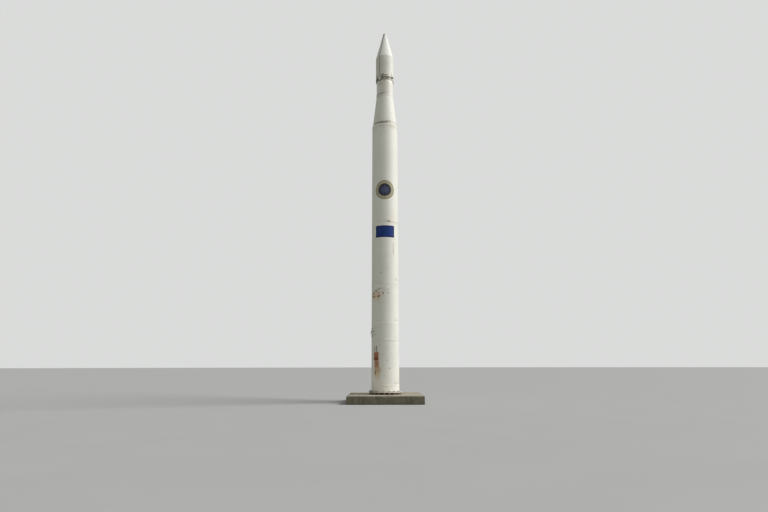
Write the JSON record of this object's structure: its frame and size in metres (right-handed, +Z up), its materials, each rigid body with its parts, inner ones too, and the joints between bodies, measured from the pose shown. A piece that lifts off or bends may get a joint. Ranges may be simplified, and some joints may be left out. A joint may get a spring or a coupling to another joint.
{
  "type": "space rocket on a display slab",
  "caption": "Slender white display rocket of welded tube sections, bolted upright to a concrete slab, with a cone, a neck and a clamshell payload fairing that opens in two leaves.",
  "frame": {"origin": "on the ground at the centre of the slab's underside, on the rocket's axis", "axes": "+Z up along the rocket's axis towards the nose, -Y towards the front, +X to the right of a viewer in front"},
  "size_m": [3.2, 3.2, 18.09],
  "materials": {
    "concrete": "weathered cast concrete, stained dark on its sides",
    "bare_steel": "galvanised and bare steel with rust",
    "body_paint": "faded cream-white paint with dirt runs and rust bleeding from the seams",
    "ring_paint": "faded off-white paint, chalky, with dirt at the edges",
    "dark_steel": "dark grey-brown weathered metal",
    "fairing_paint": "faded cream-white paint on aluminium",
    "primer": "pale primer on aluminium",
    "badge_tan": "faded tan paint",
    "sign_blue": "faded dark blue paint",
    "rusty_steel": "rusted steel plate, its paint gone"
  },
  "bodies": {
    "rocket": {"ground_slab": "concrete", "anchor_frame": "bare_steel", "base_plate": "ring_paint", "base_collar": "body_paint", "foot_ring": "ring_paint", "aft_skirt": "body_paint", "joint_ring_1": "ring_paint", "motor_case_1": "body_paint", "joint_ring_2": "ring_paint", "motor_case_2": "body_paint", "joint_ring_3": "ring_paint", "motor_case_3": "body_paint", "motor_case_4": "body_paint", "joint_ring_4": "ring_paint", "forward_case": "body_paint", "shoulder_ring": "body_paint", "recessed_band": "dark_steel", "forward_cone": "body_paint", "cone_ring": "ring_paint", "neck_ring": "ring_paint", "neck": "body_paint", "separation_ring": "dark_steel", "band_fitting_front": "bare_steel", "band_fitting_rear": "bare_steel", "payload_deck": "primer", "payload_adapter": "primer", "hinge_pin_right": "bare_steel", "hinge_pin_left": "bare_steel", "badge_ring": "badge_tan", "badge_disc": "sign_blue", "blue_panel": "sign_blue", "doubler_plate": "rusty_steel", "handling_lug": "ring_paint"},
    "fairing_leaf_right": {"fairing_barrel_right": "fairing_paint", "fairing_cone_right": "fairing_paint", "hinge_arm_right": "fairing_paint", "nose_cap": "fairing_paint"},
    "fairing_leaf_left": {"fairing_barrel_left": "fairing_paint", "fairing_cone_left": "fairing_paint", "hinge_arm_left": "fairing_paint"}
  },
  "joints": [
    {"name": "fairing_right_hinge", "type": "hinge", "parent": "rocket", "child": "fairing_leaf_right", "pos_m": [0.38734, -0.29188, 15.45], "axis": [0.6018, 0.7986, 0], "range_deg": [0, 60]},
    {"name": "fairing_left_hinge", "type": "hinge", "parent": "rocket", "child": "fairing_leaf_left", "pos_m": [-0.38734, 0.29188, 15.45], "axis": [-0.6018, -0.7986, 0], "range_deg": [0, 60]}
  ]
}
